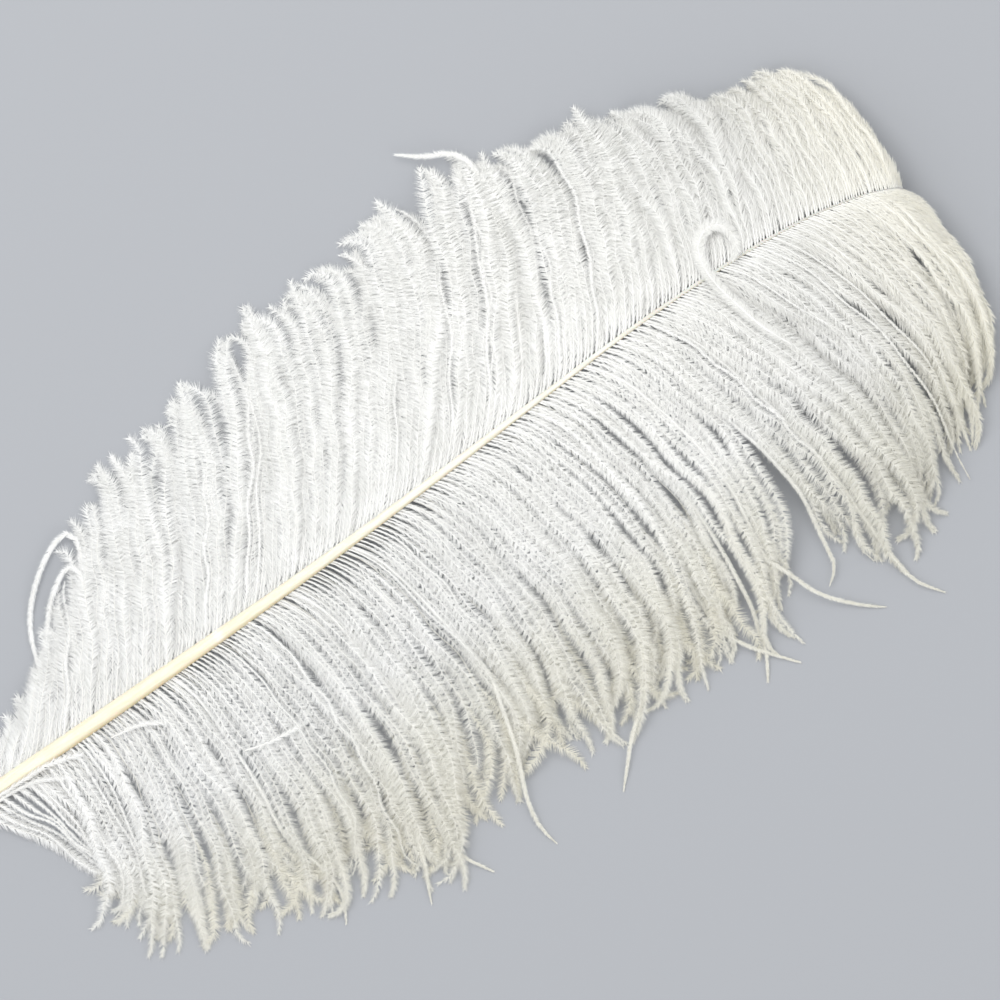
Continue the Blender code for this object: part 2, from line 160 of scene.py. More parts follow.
# Share of the barbs, along the shaft, that stray across their neighbours, and the most degrees
# that they stray by.
WILD_SHARE = {"left": [(0.0, 0.06), (1.0, 0.06)],
              "right": [(0.0, 0.35), (0.13, 0.25), (0.2, 0.1), (0.4, 0.06), (1.0, 0.06)]}
WILD_HEADING = {"left": [(0.0, 13.0), (1.0, 13.0)],
                "right": [(0.0, 10.0), (0.03, 12.0), (0.05, 26.0), (0.12, 26.0), (0.16, 13.0),
                          (1.0, 13.0)]}
WILD_LIFT = 0.0003  # for each degree that a barb strays
# Share of the barbs, along the shaft, that have lost most of their barbules and lie on the rest.
BARE_SHARE = {"left": [(0.0, 0.05), (0.85, 0.05), (0.86, 0.0), (1.0, 0.0)],
              "right": [(0.0, 0.0), (0.009, 0.0), (0.014, 0.85), (0.050, 0.80), (0.065, 0.25),
                        (0.10, 0.15), (0.14, 0.06), (0.85, 0.05), (0.86, 0.0), (1.0, 0.0)]}
BARE_HAIR = 0.3
BARE_LIFT = 0.0028
THINNED = {"left": (0.0, 0.0), "right": (0.013, 0.055)}  # where every second barb is missing
# How far the barbs of a stretch fall short of their locks' ends, or pass them.
LENGTH_TRIM = {"left": [(0.0, 0.78), (0.03, 0.85), (0.06, 1.0), (1.0, 1.0)],
               "right": [(0.0, 1.0), (0.29, 1.0), (0.33, 1.04), (0.37, 1.0), (0.40, 0.96),
                         (0.43, 0.92), (0.46, 0.96), (0.50, 1.0), (0.89, 1.0), (0.95, 1.045),
                         (1.0, 1.05)]}
# Small waves, which reach their most by a share of the barb's length.
BUNDLE_WAVE = 0.0010
BARB_WAVE = 0.4 * BUNDLE_WAVE
WAVE_BY = 0.4
WAVE_LENGTHS = (0.024, 0.060)
FLOOR_CLEARANCE = 0.0002
BARB_CLEARANCE = 3 * FLOOR_CLEARANCE
# A ramus is a barb's rod. Its width at a distance from the shaft, then at shares of its length.
RAMUS_WIDTH = [(0.0, 0.00105), (0.006, 0.00088), (0.015, 0.00070), (0.045, 0.00058), (0.1, 0.00050)]
RAMUS_TAPER = [(0.0, 1.0), (0.5, 0.95), (0.8, 0.7), (0.96, 0.35), (1.0, 0.03)]
RAMUS_SECTION = [(-0.5, -0.22), (0.5, -0.22), (0.0, 0.55)]  # across and up, in widths

# Under the longer vane lie more barbs, whose ends curl aside along its edge.
UNDER_SEED = 5
UNDER_STATIONS = (0.05, 0.62)
UNDER_SPACING = 0.0040
UNDER_ROOT_STRAY = 0.3  # of the spacing
UNDER_HEADING = 4.0
UNDER_CURL = 75.0
UNDER_HOOK = 90.0
UNDER_LENGTH = (0.90, 1.06)
UNDER_LIFT = (-0.0050, -0.0020)
UNDER_BARE_TO = 0.5  # share of its length up to which such a barb is bare, beneath the others
UNDER_HAIR = 0.95
UNDER_LEAN = 0.85
UNDER_HAIR_WIDTH = 0.00028

# The barbs of the strands, and the length and openness of their barbules as shares of a vane's.
STRAND_SEED = 13
STRAND_BARBS = 2
STRAND_ROOT_POINTS = 7  # taken over from the lock's path
STRAND_STEPS = 12  # from one point of its route to the next
STRAND_HAIR = {"left": 0.5, "right": 0.38}
STRAND_LEAN = 0.55
STRAND_SWING = 0.0003
STRAND_HAIR_WIDTH = 0.00030
RING_BARBS = 4
RING_HAIR = 0.8
RING_LEAN = 0.8
RING_BARE_TO = 0.04
# Loose barbs that lie across the others: how long their barbules are, and their routes.
LOOSE_BARBS = [
    (0.9, [(0.0562, -0.0096, 0.0165), (0.0707, -0.0124, 0.0180), (0.0841, -0.0185, 0.0185)]),
    (0.9, [(0.1054, -0.0494, 0.0185), (0.1183, -0.0529, 0.0210), (0.1334, -0.0539, 0.0220)]),
    (0.8, [(-0.0120, -0.0030, 0.0095), (0.0089, -0.0034, 0.0125), (0.0253, -0.0043, 0.0140),
           (0.0400, -0.0080, 0.0140)]),
    (0.7, [(-0.0130, -0.0060, 0.0085), (0.0020, -0.0052, 0.0110), (0.0160, -0.0075, 0.0125),
           (0.0290, -0.0150, 0.0125)]),
]

# ---- barbules --------------------------------------------------------------------------------
MOST_TRIANGLES = 185_000  # in one piece
# Barbules cling together in small tufts.
TUFT_SPACING = {"left": 0.00095, "right": 0.00145}
TUFT_HAIRS = {"left": 5, "right": 8}
TUFT_SHIFT = 0.35  # of the spacing, to either side
TUFT_OPENS = (0.7, 1.25)  # share of its hairs' spacing that a tuft keeps at its tips
TUFT_LENGTH = (0.88, 1.06)
TUFT_STRAY = {"left": 3.5, "right": 5.0}  # degrees
HAIR_SHORTER = 0.3  # most that a hair is shorter than its tuft, as a share
HAIR_STRAY = 0.035  # of its length
HAIR_TWIST = 65.0  # degrees to either side
# How many times as far the hairs of a tuft stray, at a share of the barb's length. They open as
# many times as far, up to a limit.
END_FLUFF = [(0.0, 1.0), (0.7, 1.0), (0.9, 1.9), (1.0, 2.6)]
MOST_OPEN = 1.6
# A barbule's length and its angle from its barb, at a distance from the shaft.
BARBULE_LENGTH = {
    "left": [(0.0, 0.0020), (0.006, 0.0034), (0.013, 0.0044), (0.022, 0.0050), (0.038, 0.0054),
             (0.07, 0.0058)],
    "right": [(0.0, 0.0016), (0.006, 0.0028), (0.013, 0.0040), (0.022, 0.0047), (0.038, 0.0052),
              (0.07, 0.0055)],
}
BARBULE_ANGLE = {
    "left": [(0.0, 18), (0.006, 22), (0.012, 28), (0.025, 46), (0.04, 62), (0.09, 74)],
    "right": [(0.0, 18), (0.006, 22), (0.012, 27), (0.025, 42), (0.04, 55), (0.09, 64)],
}
BARBULE_ROLL = {"left": (-7.0, 7.0), "right": (-8.0, 10.0)}  # degrees above the vane, and stray
# Both at a share of the barb's length.
LENGTH_OUT = {"left": [(0.0, 1.0), (0.9, 1.05), (0.97, 0.85), (1.0, 0.55)],
              "right": [(0.0, 1.0), (0.78, 1.05), (0.94, 0.75), (1.0, 0.45)]}
ANGLE_OUT = {"left": [(0.0, 1.0), (0.86, 1.0), (0.95, 0.75), (1.0, 0.4)],
             "right": [(0.0, 1.0), (0.8, 1.0), (1.0, 0.5)]}
# Both along the feather: finer towards its tip, and shorter over a stretch of the longer vane.
LENGTH_TO_TIP = {"left": [(0.0, 1.0), (0.76, 1.0), (0.88, 0.95), (1.0, 0.85)],
                 "right": [(0.0, 1.0), (0.53, 1.0), (0.57, 0.72), (0.67, 0.72), (0.72, 1.0),
                           (0.76, 1.0), (0.88, 0.95), (1.0, 0.85)]}
ANGLE_TO_TIP = [(0.0, 1.0), (0.74, 1.0), (0.86, 0.6), (1.0, 0.4)]
NEAR_SHAFT = 0.016  # reach of the stretch where barbules are shorter or longer than elsewhere
# How long they are there, by the station along the shaft: a comb of bare roots shows in places.
NEAR_SCALE = {"left": [(0.0, 1.9), (0.35, 1.8), (0.7, 1.5), (0.8, 1.7), (1.0, 2.0)],
              "right": [(0.0, 2.4), (0.045, 2.4), (0.07, 2.0), (0.17, 1.8), (0.22, 1.05),
                        (0.26, 1.0), (0.29, 1.6), (0.33, 1.6), (0.36, 0.45), (0.42, 0.55),
                        (0.46, 1.6), (0.7, 1.7), (1.0, 2.2)]}
NEAR_STRAY = 0.2  # of that, from bundle to bundle
BARE_FADE = 0.3  # share of the length over which barbules past a bare stretch grow to full length
# A barbule's width where it leaves its barb, along the feather: part of the longer vane is airier.
HAIR_WIDTH = {"left": [(0.0, 0.00030), (1.0, 0.00030)],
              "right": [(0.0, 0.00028), (0.10, 0.00027), (0.17, 0.00019), (0.45, 0.00020),
                        (0.7, 0.00030), (1.0, 0.00030)]}
HAIR_WIDTHS = (0.7, 1.3)
HAIR_CLEARANCES = (1.0, 4.0)  # times the floor's

# On the map each barb has a strip of its own. These are places from its middle, in its widths.
ROD_ON_MAP = 0.3
HAIR_ON_MAP = np.array([0.06, 0.06, 0.44])
HAIR_ROOT_ON_MAP = 0.35  # of the tufts' spacing, along the strip


# ---- smooth values along the feather --------------------------------------------------------
def table_values(rows, column, places):
    """A column of a table at each place, eased over the corners between its rows."""
    known = [row[0] for row in rows]
    values = [row[column] for row in rows]
    ease = EASE * (known[-1] - known[0])
    near = np.asarray(places, float)[..., None] + ease * np.arange(-2, 3) / 2
    return np.interp(np.clip(near, known[0], known[-1]), known, values).mean(-1)


def curve_value(rows, places):
    """The value between rows of place and value."""
    return np.interp(places, *zip(*rows))


def spread(rng, most, size):
    """Even draws to both sides of zero."""
    return rng.uniform(-most, most, size)


def smooth_route(points, steps=24):
    """Points of a Catmull-Rom curve through a route."""
    route = np.array(points)
    route = np.vstack([2 * route[0] - route[1], route, 2 * route[-1] - route[-2]])
    curve = []
    for before, start, end, after in zip(route, route[1:], route[2:], route[3:]):
        for step in range(steps):
            u = step / steps
            curve.append(0.5 * (2 * start + (end - before) * u
                                + (2 * before - 5 * start + 4 * end - after) * u ** 2
                                + (3 * start - before - 3 * end + after) * u ** 3))
    curve.append(route[-2])
    return np.array(curve)


def lengths_along(curve):
    return np.concatenate([[0.0], np.cumsum(np.linalg.norm(np.diff(curve, axis=0), axis=1))])


def resample(curve, count):
    """The same curve with its points evenly spaced."""
    along = lengths_along(curve)
    even = np.linspace(0.0, along[-1], count)
    return np.stack([np.interp(even, along, curve[:, axis]) for axis in range(3)], axis=1)


SHAFT_CURVE = smooth_route(SHAFT_ROUTE)
SHAFT_ALONG = lengths_along(SHAFT_CURVE)
VANE_START = float(np.interp(FIRST_BARB, SHAFT_CURVE[:, 0], SHAFT_ALONG))
VANE_LENGTH = SHAFT_ALONG[-1] - VANE_START


def shaft_points(stations):
    """The shaft's middle line at stations of the vanes."""
    along = VANE_START + stations * VANE_LENGTH
    return np.stack([np.interp(along, SHAFT_ALONG, SHAFT_CURVE[:, axis]) for axis in range(3)], -1)


# ---- vectors ---------------------------------------------------------------------------------
LEAST_LENGTH = 1e-12


def unit(vectors):
    return vectors / np.maximum(np.linalg.norm(vectors, axis=-1, keepdims=True), LEAST_LENGTH)


def frames_along(paths):
    """Ahead, sideways and up at every point of every path."""
    ahead = unit(np.gradient(paths, axis=-2))
    aside = unit(np.cross([0.0, 0.0, 1.0], ahead))
    return ahead, aside, np.cross(ahead, aside)


def lengths_of(paths):
    return np.linalg.norm(np.diff(paths, axis=1), axis=2).sum(1)


def read_at(values, owner, share):
    """Values held at every point of every path, read at a share of the length of some of them."""
    last = values.shape[1] - 1
    place = np.clip(share, 0.0, 1.0) * last
    before = np.minimum(place.astype(int), last - 1)
    part = (place - before)[:, None]
    return values[owner, before] * (1 - part) + values[owner, before + 1] * part


# ---- barb paths ------------------------------------------------------------------------------
def partings(side, stations, out):
    """How far the partings turn each barb at shares of its length, in radians."""
    turn = np.zeros((len(stations), len(out)))
    for where, middle, opens, starts in PARTINGS:
        if where == side:
            away = (stations - middle) / PARTING_WIDTH
            lean = np.sign(away) * np.exp(-abs(away)) * np.minimum(abs(away) * PARTING_RISE, 1.0)
            opened = np.clip((out - starts) / PARTING_LENGTH, 0.0, 1.0)
            turn += np.radians(opens) * lean[:, None] * opened
    return turn if side == "right" else -turn


def barb_paths(side, stations, stray):
    """Points of each barb from the shaft's middle line to its end."""
    vane = VANES[side]
    stations = np.clip(stations, 0.0, 1.0)
    roots = shaft_points(stations)
    lengths = table_values(vane, 1, stations) * stray["length"]
    at_root, half_way, at_end = (
        np.radians(table_values(vane, column, stations))[:, None] for column in (2, 3, 4))
    steps = BARB_POINTS - 1
    v = (np.arange(steps) + 0.5) / steps
    early = np.minimum(v / ROOT_BEND, 1.0)
    late, last, hook = (np.maximum((v - start) / (1 - start), 0.0)
                        for start in (END_BEND_FROM, CURL_FROM, HOOK_FROM))
    heading = (at_root + (half_way - at_root) * early * (2 - early)
               + (at_end - half_way) * late ** END_BEND_POWER
               + stray["heading"][:, None] * np.minimum(v / STRAY_BY, 1.0)
               + stray["curl"][:, None] * last + stray["hook"][:, None] * hook
               + partings(side, stations, v))
    moves = np.stack([np.cos(heading), np.sin(heading)], -1) * (lengths / steps)[:, None, None]
    plan = np.concatenate([np.zeros_like(moves[:, :1]), np.cumsum(moves, 1)], 1)
    plan += roots[:, None, :2]
    out = np.arange(BARB_POINTS) / steps
    fall = (roots[:, 2:] - LOCK_END_HEIGHT) * out ** DROOP
    lift = stray["lift"][:, None] * np.sin(np.pi * np.minimum(out / LIFT_TO, 1.0)) ** LIFT_POWER
    return np.concatenate([plan, (roots[:, 2:] - fall + lift)[..., None]], -1)


def lock_strays():
    """Each lock's departure from the even field, drawn in the order that the solid's locks are."""
    strays = {}
    for side, count in LOCKS.items():
        rng = random.Random(LOCK_SEEDS[side])
        rows = {key: np.zeros(count) for key in ("heading", "curl", "length", "lift")}
        for order in range(count):
            rows["heading"][order] = math.radians(rng.uniform(-HEADING_STRAY, HEADING_STRAY))
            rows["curl"][order] = math.radians(rng.uniform(-END_CURL, END_CURL))
            rows["length"][order] = 1.0 + rng.uniform(-LENGTH_STRAY, LENGTH_STRAY)
            layer = LAYER_LIFT if order % 2 else -0.5 * LAYER_LIFT
            rows["lift"][order] = layer + rng.uniform(-HEIGHT_STRAY, HEIGHT_STRAY)
        strays[side] = rows
    return strays


def between_locks(side, strays, stations):
    """The locks' departures at stations, read between the locks' middles."""
    middles = (np.arange(LOCKS[side]) + 0.5) / LOCKS[side]
    return {key: np.interp(stations, middles, values) for key, values in strays[side].items()}


def settle_on_floor(paths):
    """Lifts what would lie too low: the field's frame has the floor a little above its zero."""
    paths[..., 2] = np.maximum(paths[..., 2], BARB_CLEARANCE - FIELD_TO_FRAME[2])


def swing(paths, owner, most, rng):
    """Small waves aside along every path, shared by the paths of one owner."""
    count = owner.max() + 1
    out = np.linspace(0.0, 1.0, paths.shape[1])
    along = lengths_of(paths)[:, None] * out
    wave_length = rng.uniform(*WAVE_LENGTHS, count)[owner][:, None]
    phase = rng.uniform(0, 2 * np.pi, count)[owner][:, None]
    wave = np.sin(2 * np.pi * along / wave_length + phase)
    aside = most * wave * np.minimum(out / WAVE_BY, 1.0)
    return paths + frames_along(paths)[1] * aside[..., None]


def some_of(barbs, chosen):
    return {key: values[chosen] for key, values in barbs.items()}


def make_barbs(side, strays, rng):
    """All the barbs of a vane: their paths, and how long and how open each one's barbules are."""
    fine = np.linspace(0.0, 1.0, FINE_STEPS + 1)
    barbs_by = np.cumsum(VANE_LENGTH / FINE_STEPS / curve_value(BARB_SPACING, fine))
    count = int(barbs_by[-1])
    stations = np.interp(np.arange(count) + 0.5 + spread(rng, ROOT_STRAY, count), barbs_by, fine)
    bundle = np.repeat(np.arange(count), rng.choice(BUNDLE_SIZES[side], count))[:count]
    bundles = bundle[-1] + 1
    middle = np.bincount(bundle, stations) / np.bincount(bundle)
    calm = curve_value(CALM_TO_TIP, middle)
    hook_middle, hook_spread = BUNDLE_HOOK[side]
    of_lock = between_locks(side, strays, middle)
    wild = ((rng.uniform(0, 1, count) < curve_value(WILD_SHARE[side], stations))
            * spread(rng, 1.0, count) * curve_value(WILD_HEADING[side], stations))
    bare = rng.uniform(0, 1, count) < curve_value(BARE_SHARE[side], stations)
    of_bundle = {
        "heading": (of_lock["heading"]
                    + np.radians(spread(rng, BUNDLE_HEADING[side], bundles)) * calm),
        "curl": of_lock["curl"] + np.radians(spread(rng, BUNDLE_CURL[side], bundles)) * calm,
        "hook": (np.radians(hook_middle + spread(rng, hook_spread, bundles)) * calm
                 + np.radians(curve_value(HOOK_TO_TIP[side], middle))),
        "length": (of_lock["length"] * (1 + spread(rng, BUNDLE_LENGTH[side], bundles))
                   * curve_value(LENGTH_TRIM[side], middle)),
        "lift": of_lock["lift"] + spread(rng, BUNDLE_LIFT, bundles) * calm,
    }
    of_barb = {
        "heading": (of_bundle["heading"][bundle]
                    + np.radians(spread(rng, BARB_HEADING, count) + wild)),
        "curl": of_bundle["curl"][bundle] + np.radians(spread(rng, BARB_CURL, count)),
        "hook": of_bundle["hook"][bundle],
        "length": of_bundle["length"][bundle] * (1 + spread(rng, BARB_LENGTH, count)),
        "lift": (of_bundle["lift"][bundle] + spread(rng, BARB_LIFT, count)
                 + abs(wild) * WILD_LIFT + bare * BARE_LIFT),
    }
    paths = barb_paths(side, stations, of_barb)
    out = np.linspace(0.0, 1.0, BARB_POINTS)
    gather = (curve_value(BUNDLE_GATHER[side], out) * calm[bundle][:, None])[..., None]
    cling = (barb_paths(side, middle, of_bundle)[bundle] - paths) * gather
    cling[(abs(wild) > 0) | bare] *= LOOSE_GATHER
    cling[..., 2] *= GATHER_IN_HEIGHT
    paths = swing(paths + cling, bundle, BUNDLE_WAVE, rng)
    paths = swing(paths, np.arange(count), BARB_WAVE, rng)
    settle_on_floor(paths)
    thin_from, thin_to = THINNED[side]
    missing = (stations > thin_from) & (stations < thin_to) & (np.arange(count) % 2 == 1)
    near = curve_value(NEAR_SCALE[side], middle) * (1 + spread(rng, NEAR_STRAY, bundles))
    return some_of({
        "paths": paths,
        "hair": curve_value(LENGTH_TO_TIP[side], stations) * np.where(bare, BARE_HAIR, 1.0),
        "lean": curve_value(ANGLE_TO_TIP, stations),
        "near": near[bundle],
        "hair_width": curve_value(HAIR_WIDTH[side], stations),
        "bare_to": np.zeros(count),
    }, ~missing)


def make_underlay(side, strays, rng):
    """Barbs that lie under a vane, without barbules where the others cover them."""
    count = int((UNDER_STATIONS[1] - UNDER_STATIONS[0]) * VANE_LENGTH / UNDER_SPACING)
    stations = np.linspace(*UNDER_STATIONS, count)
    stations += spread(rng, UNDER_ROOT_STRAY, count) * UNDER_SPACING / VANE_LENGTH
    lean = between_locks(side, strays, stations)["heading"]
    paths = barb_paths(side, stations, {
        "heading": lean + np.radians(spread(rng, UNDER_HEADING, count)),
        "curl": np.radians(spread(rng, UNDER_CURL, count)),
        "hook": np.radians(spread(rng, UNDER_HOOK, count)),
        "length": rng.uniform(*UNDER_LENGTH, count),
        "lift": rng.uniform(*UNDER_LIFT, count),
    })
    paths = swing(paths, np.arange(count), BUNDLE_WAVE, rng)
    settle_on_floor(paths)
    ones = np.ones(count)
    return {"paths": paths, "hair": UNDER_HAIR * ones, "lean": UNDER_LEAN * ones, "near": ones,
            "hair_width": UNDER_HAIR_WIDTH * ones, "bare_to": UNDER_BARE_TO * ones}


def strand_route(strays, side, lock, leaves_at, route):
    """A strand's whole route: it starts on its lock's path."""
    stray = {key: values[lock:lock + 1] for key, values in strays[side].items()}
    stray["hook"] = np.zeros(1)
    on_lock = barb_paths(side, np.array([(lock + 0.5) / LOCKS[side]]), stray)[0]
    share = np.linspace(0.0, 1.0, BARB_POINTS)
    first = [[np.interp(place, share, on_lock[:, axis]) for axis in range(3)]
             for place in np.linspace(0.0, leaves_at, STRAND_ROOT_POINTS)]
    return [*first, *route]


def make_strands(strays, rng):
    """The barbs of the strands that leave the vanes, of the ring, and of what lies across."""
    rows = [(smooth_route(strand_route(strays, *strand), STRAND_STEPS), STRAND_BARBS,
             STRAND_HAIR[strand[0]], STRAND_LEAN, 0.0) for strand in STRANDS]
    rows.append((smooth_route(RING_ROUTE, STRAND_STEPS), RING_BARBS,
                 RING_HAIR, RING_LEAN, RING_BARE_TO))
    rows += [(smooth_route(route), 1, hair, STRAND_LEAN, 0.0) for hair, route in LOOSE_BARBS]
    curves, barbs, hair, lean, bare_to = zip(*rows)
    paths = np.repeat([resample(curve, BARB_POINTS) for curve in curves], barbs, axis=0)
    paths = swing(paths, np.arange(len(paths)), STRAND_SWING, rng)
    settle_on_floor(paths)
    ones = np.ones(len(paths))
    return {"paths": paths, "hair": np.repeat(hair, barbs), "lean": np.repeat(lean, barbs),
            "near": ones, "hair_width": STRAND_HAIR_WIDTH * ones,
            "bare_to": np.repeat(bare_to, barbs)}


# ---- meshes ----------------------------------------------------------------------------------
def ramus_mesh(barbs):
    """Three-sided tapering rods along the paths: points, triangles and places on the map."""
    paths = barbs["paths"]
    _, aside, up = frames_along(paths)
    out = np.linspace(0.0, 1.0, paths.shape[1])
    width = (curve_value(RAMUS_WIDTH, out * lengths_of(paths)[:, None])
             * curve_value(RAMUS_TAPER, out))
    across, rise = np.array(RAMUS_SECTION).T
    section = aside[:, :, None] * across[:, None] + up[:, :, None] * rise[:, None]
    rings = paths[:, :, None] + section * width[:, :, None, None]
    count, points, sides = rings.shape[:3]
    index = np.arange(count * points * sides).reshape(count, points, sides)
    nxt = np.roll(index, -1, axis=2)
    triangles = np.concatenate([
        np.stack([index[:, :-1], nxt[:, :-1], nxt[:, 1:]], -1).reshape(-1, 3),
        np.stack([index[:, :-1], nxt[:, 1:], index[:, 1:]], -1).reshape(-1, 3)])
    column = np.arange(count)[:, None, None] + 0.5 + ROD_ON_MAP * (np.arange(sides) - 1)
    v = np.broadcast_to(out[None, :, None], rings.shape[:3])
    places = np.stack([np.broadcast_to(column / count, v.shape), v], -1)
    return rings.reshape(-1, 3), triangles, places.reshape(-1, 2)


def barbule_mesh(barbs, side, rng):
    """Slivers in tufts on both sides of every barb: points, triangles and places on the map."""
    paths = barbs["paths"]
    ahead, aside, up = frames_along(paths)
    lengths = lengths_of(paths)
    spacing, tuft_hairs = TUFT_SPACING[side], TUFT_HAIRS[side]
    haired = 1 - barbs["bare_to"]
    tufts = np.maximum((lengths * haired / spacing).astype(int), 1)
    owner = np.tile(np.repeat(np.arange(len(paths)), tufts), 2)
    order = np.tile(np.concatenate([np.arange(n) for n in tufts]), 2)
    total = len(owner)
    hand = np.where(np.arange(total) < total // 2, 1.0, -1.0)
    step = (haired / tufts)[owner]
    share = barbs["bare_to"][owner] + (order + 0.5 + spread(rng, TUFT_SHIFT, total)) * step

    from_shaft = share * lengths[owner]
    beside_shaft = np.exp(-(from_shaft / NEAR_SHAFT) ** 2)
    near = 1 + (barbs["near"][owner] - 1) * beside_shaft
    hair = barbs["hair"][owner]
    hair += (1 - hair) * beside_shaft
    length = (curve_value(BARBULE_LENGTH[side], from_shaft) * curve_value(LENGTH_OUT[side], share)
              * near * hair * rng.uniform(*TUFT_LENGTH, total))
    fade = (share - barbs["bare_to"][owner]) / BARE_FADE
    length *= np.where(barbs["bare_to"][owner] > 0, np.minimum(fade, 1.0), 1.0)
    lean = 1 + (barbs["lean"][owner] - 1) * (1 - beside_shaft)
    angle = (curve_value(BARBULE_ANGLE[side], from_shaft) * curve_value(ANGLE_OUT[side], share)
             * lean)
    angle = np.radians(angle + rng.normal(0.0, TUFT_STRAY[side], total))
    roll = np.radians(rng.normal(*BARBULE_ROLL[side], total))
    t, s, n = (read_at(axis, owner, share) for axis in (ahead, aside, up))
    sideways = s * (hand * np.cos(roll))[:, None] + n * np.sin(roll)[:, None]
    way = unit(t * np.cos(angle)[:, None] + sideways * np.sin(angle)[:, None])
    middle = read_at(paths, owner, share)

    def each(values):
        return np.repeat(values, tuft_hairs, axis=0)

    hairs = total * tuft_hairs
    spot = np.tile(np.arange(tuft_hairs) - (tuft_hairs - 1) / 2, total) / tuft_hairs
    base_share = each(share) + spot * each(step)
    base = read_at(paths, each(owner), base_share)
    reach = each(length) * (1 - HAIR_SHORTER * rng.uniform(0, 1, hairs))
    fluff = each(curve_value(END_FLUFF, share))
    opens = each(rng.uniform(*TUFT_OPENS, total)) * spacing * np.minimum(fluff, MOST_OPEN)
    tip = each(middle) + each(way) * reach[:, None] + each(t) * (spot * opens)[:, None]
    tip += rng.normal(0.0, 1.0, (hairs, 3)) * (HAIR_STRAY * fluff * reach)[:, None]
    line = unit(tip - base)
    forward = unit(each(t) - line * np.sum(each(t) * line, 1)[:, None])
    face = unit(np.cross(forward, line))
    twist = np.radians(spread(rng, HAIR_TWIST, hairs))[:, None]
    across = forward * np.cos(twist) + face * np.sin(twist)
    width = each(barbs["hair_width"][owner])
    half = across * (0.5 * width * rng.uniform(*HAIR_WIDTHS, hairs))[:, None]
    points = np.stack([base - half, base + half, tip], 1)
    low = FLOOR_CLEARANCE * rng.uniform(*HAIR_CLEARANCES, (hairs, 1)) - FIELD_TO_FRAME[2]
    points[..., 2] = np.maximum(points[..., 2], low)
    triangles = np.arange(hairs * 3).reshape(-1, 3)
    u = (each(owner)[:, None] + 0.5 + each(hand)[:, None] * HAIR_ON_MAP) / len(paths)
    v = (base_share[:, None]
         + HAIR_ROOT_ON_MAP * each(step)[:, None] * np.array([-0.5, 0.5, 0.0]))
    places = np.stack([u, np.clip(v, 0.0, 1.0)], -1)
    return points.reshape(-1, 3), triangles, places.reshape(-1, 2)


def add_object(name, data):
    made = bpy.data.objects.new(name, data)
    bpy.context.scene.collection.objects.link(made)
    return made


def place_piece(name, mesh):
    """A mesh as a piece of the feather."""
    piece = add_object(name, mesh)
    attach(piece, "root")
    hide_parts("feather")


def add_fibres(name, points, triangles, places, material):
    """One mesh of triangles, in the frame's place."""
    mesh = bpy.data.meshes.new(name)
    mesh.vertices.add(len(points))
    mesh.vertices.foreach_set("co", (points + FIELD_TO_FRAME).astype(np.float32).ravel())
    mesh.loops.add(triangles.size)
    mesh.loops.foreach_set("vertex_index", triangles.astype(np.int32).ravel())
    mesh.polygons.add(len(triangles))
    mesh.polygons.foreach_set("loop_start", np.arange(0, triangles.size, 3, dtype=np.int32))
    mesh.polygons.foreach_set("use_smooth", np.ones(len(triangles), bool))
    layer = mesh.uv_layers.new(name="OFBake")
    layer.uv.foreach_set("vector", places[triangles.ravel()].astype(np.float32).ravel())
    mesh.materials.append(material)
    mesh.update(calc_edges=True)
    place_piece(name, mesh)


def add_vane(side, strays, materials):
    """A vane's rods in one piece, and its barbules in as many as keep each under the limit."""
    rng = np.random.default_rng(BARB_SEEDS[side])
    barbs = make_barbs(side, strays, rng)
    add_fibres(f"{side}_barbs", *ramus_mesh(barbs), materials["barbs"])
    hairs = lengths_of(barbs["paths"]) / TUFT_SPACING[side] * 2 * TUFT_HAIRS[side]
    pieces = math.ceil(hairs.sum() / MOST_TRIANGLES)
    share = np.cumsum(hairs) / hairs.sum() * pieces
    for order in range(pieces):
        mine = some_of(barbs, (share > order) & (share <= order + 1))
        add_fibres(f"{side}_barbules_{order + 1}", *barbule_mesh(mine, side, rng),
                   materials["barbules"])


def add_group(name, barbs, rng, rods, hairs):
    """A group of other barbs: its rods in one piece and its barbules in one."""
    add_fibres(f"{name}_barbs", *ramus_mesh(barbs), rods)
    add_fibres(f"{name}_barbules", *barbule_mesh(barbs, "left", rng), hairs)


# ---- the shaft -------------------------------------------------------------------------------
SHAFT_SIDES = 28
SHAFT_RINGS = 220
SHAFT_FLATTEN = 0.86  # its height over its width
GROOVE_DEPTH = 0.16  # of the radius
GROOVE_WIDTH = 0.35  # radians
DOWN = 1.5 * np.pi


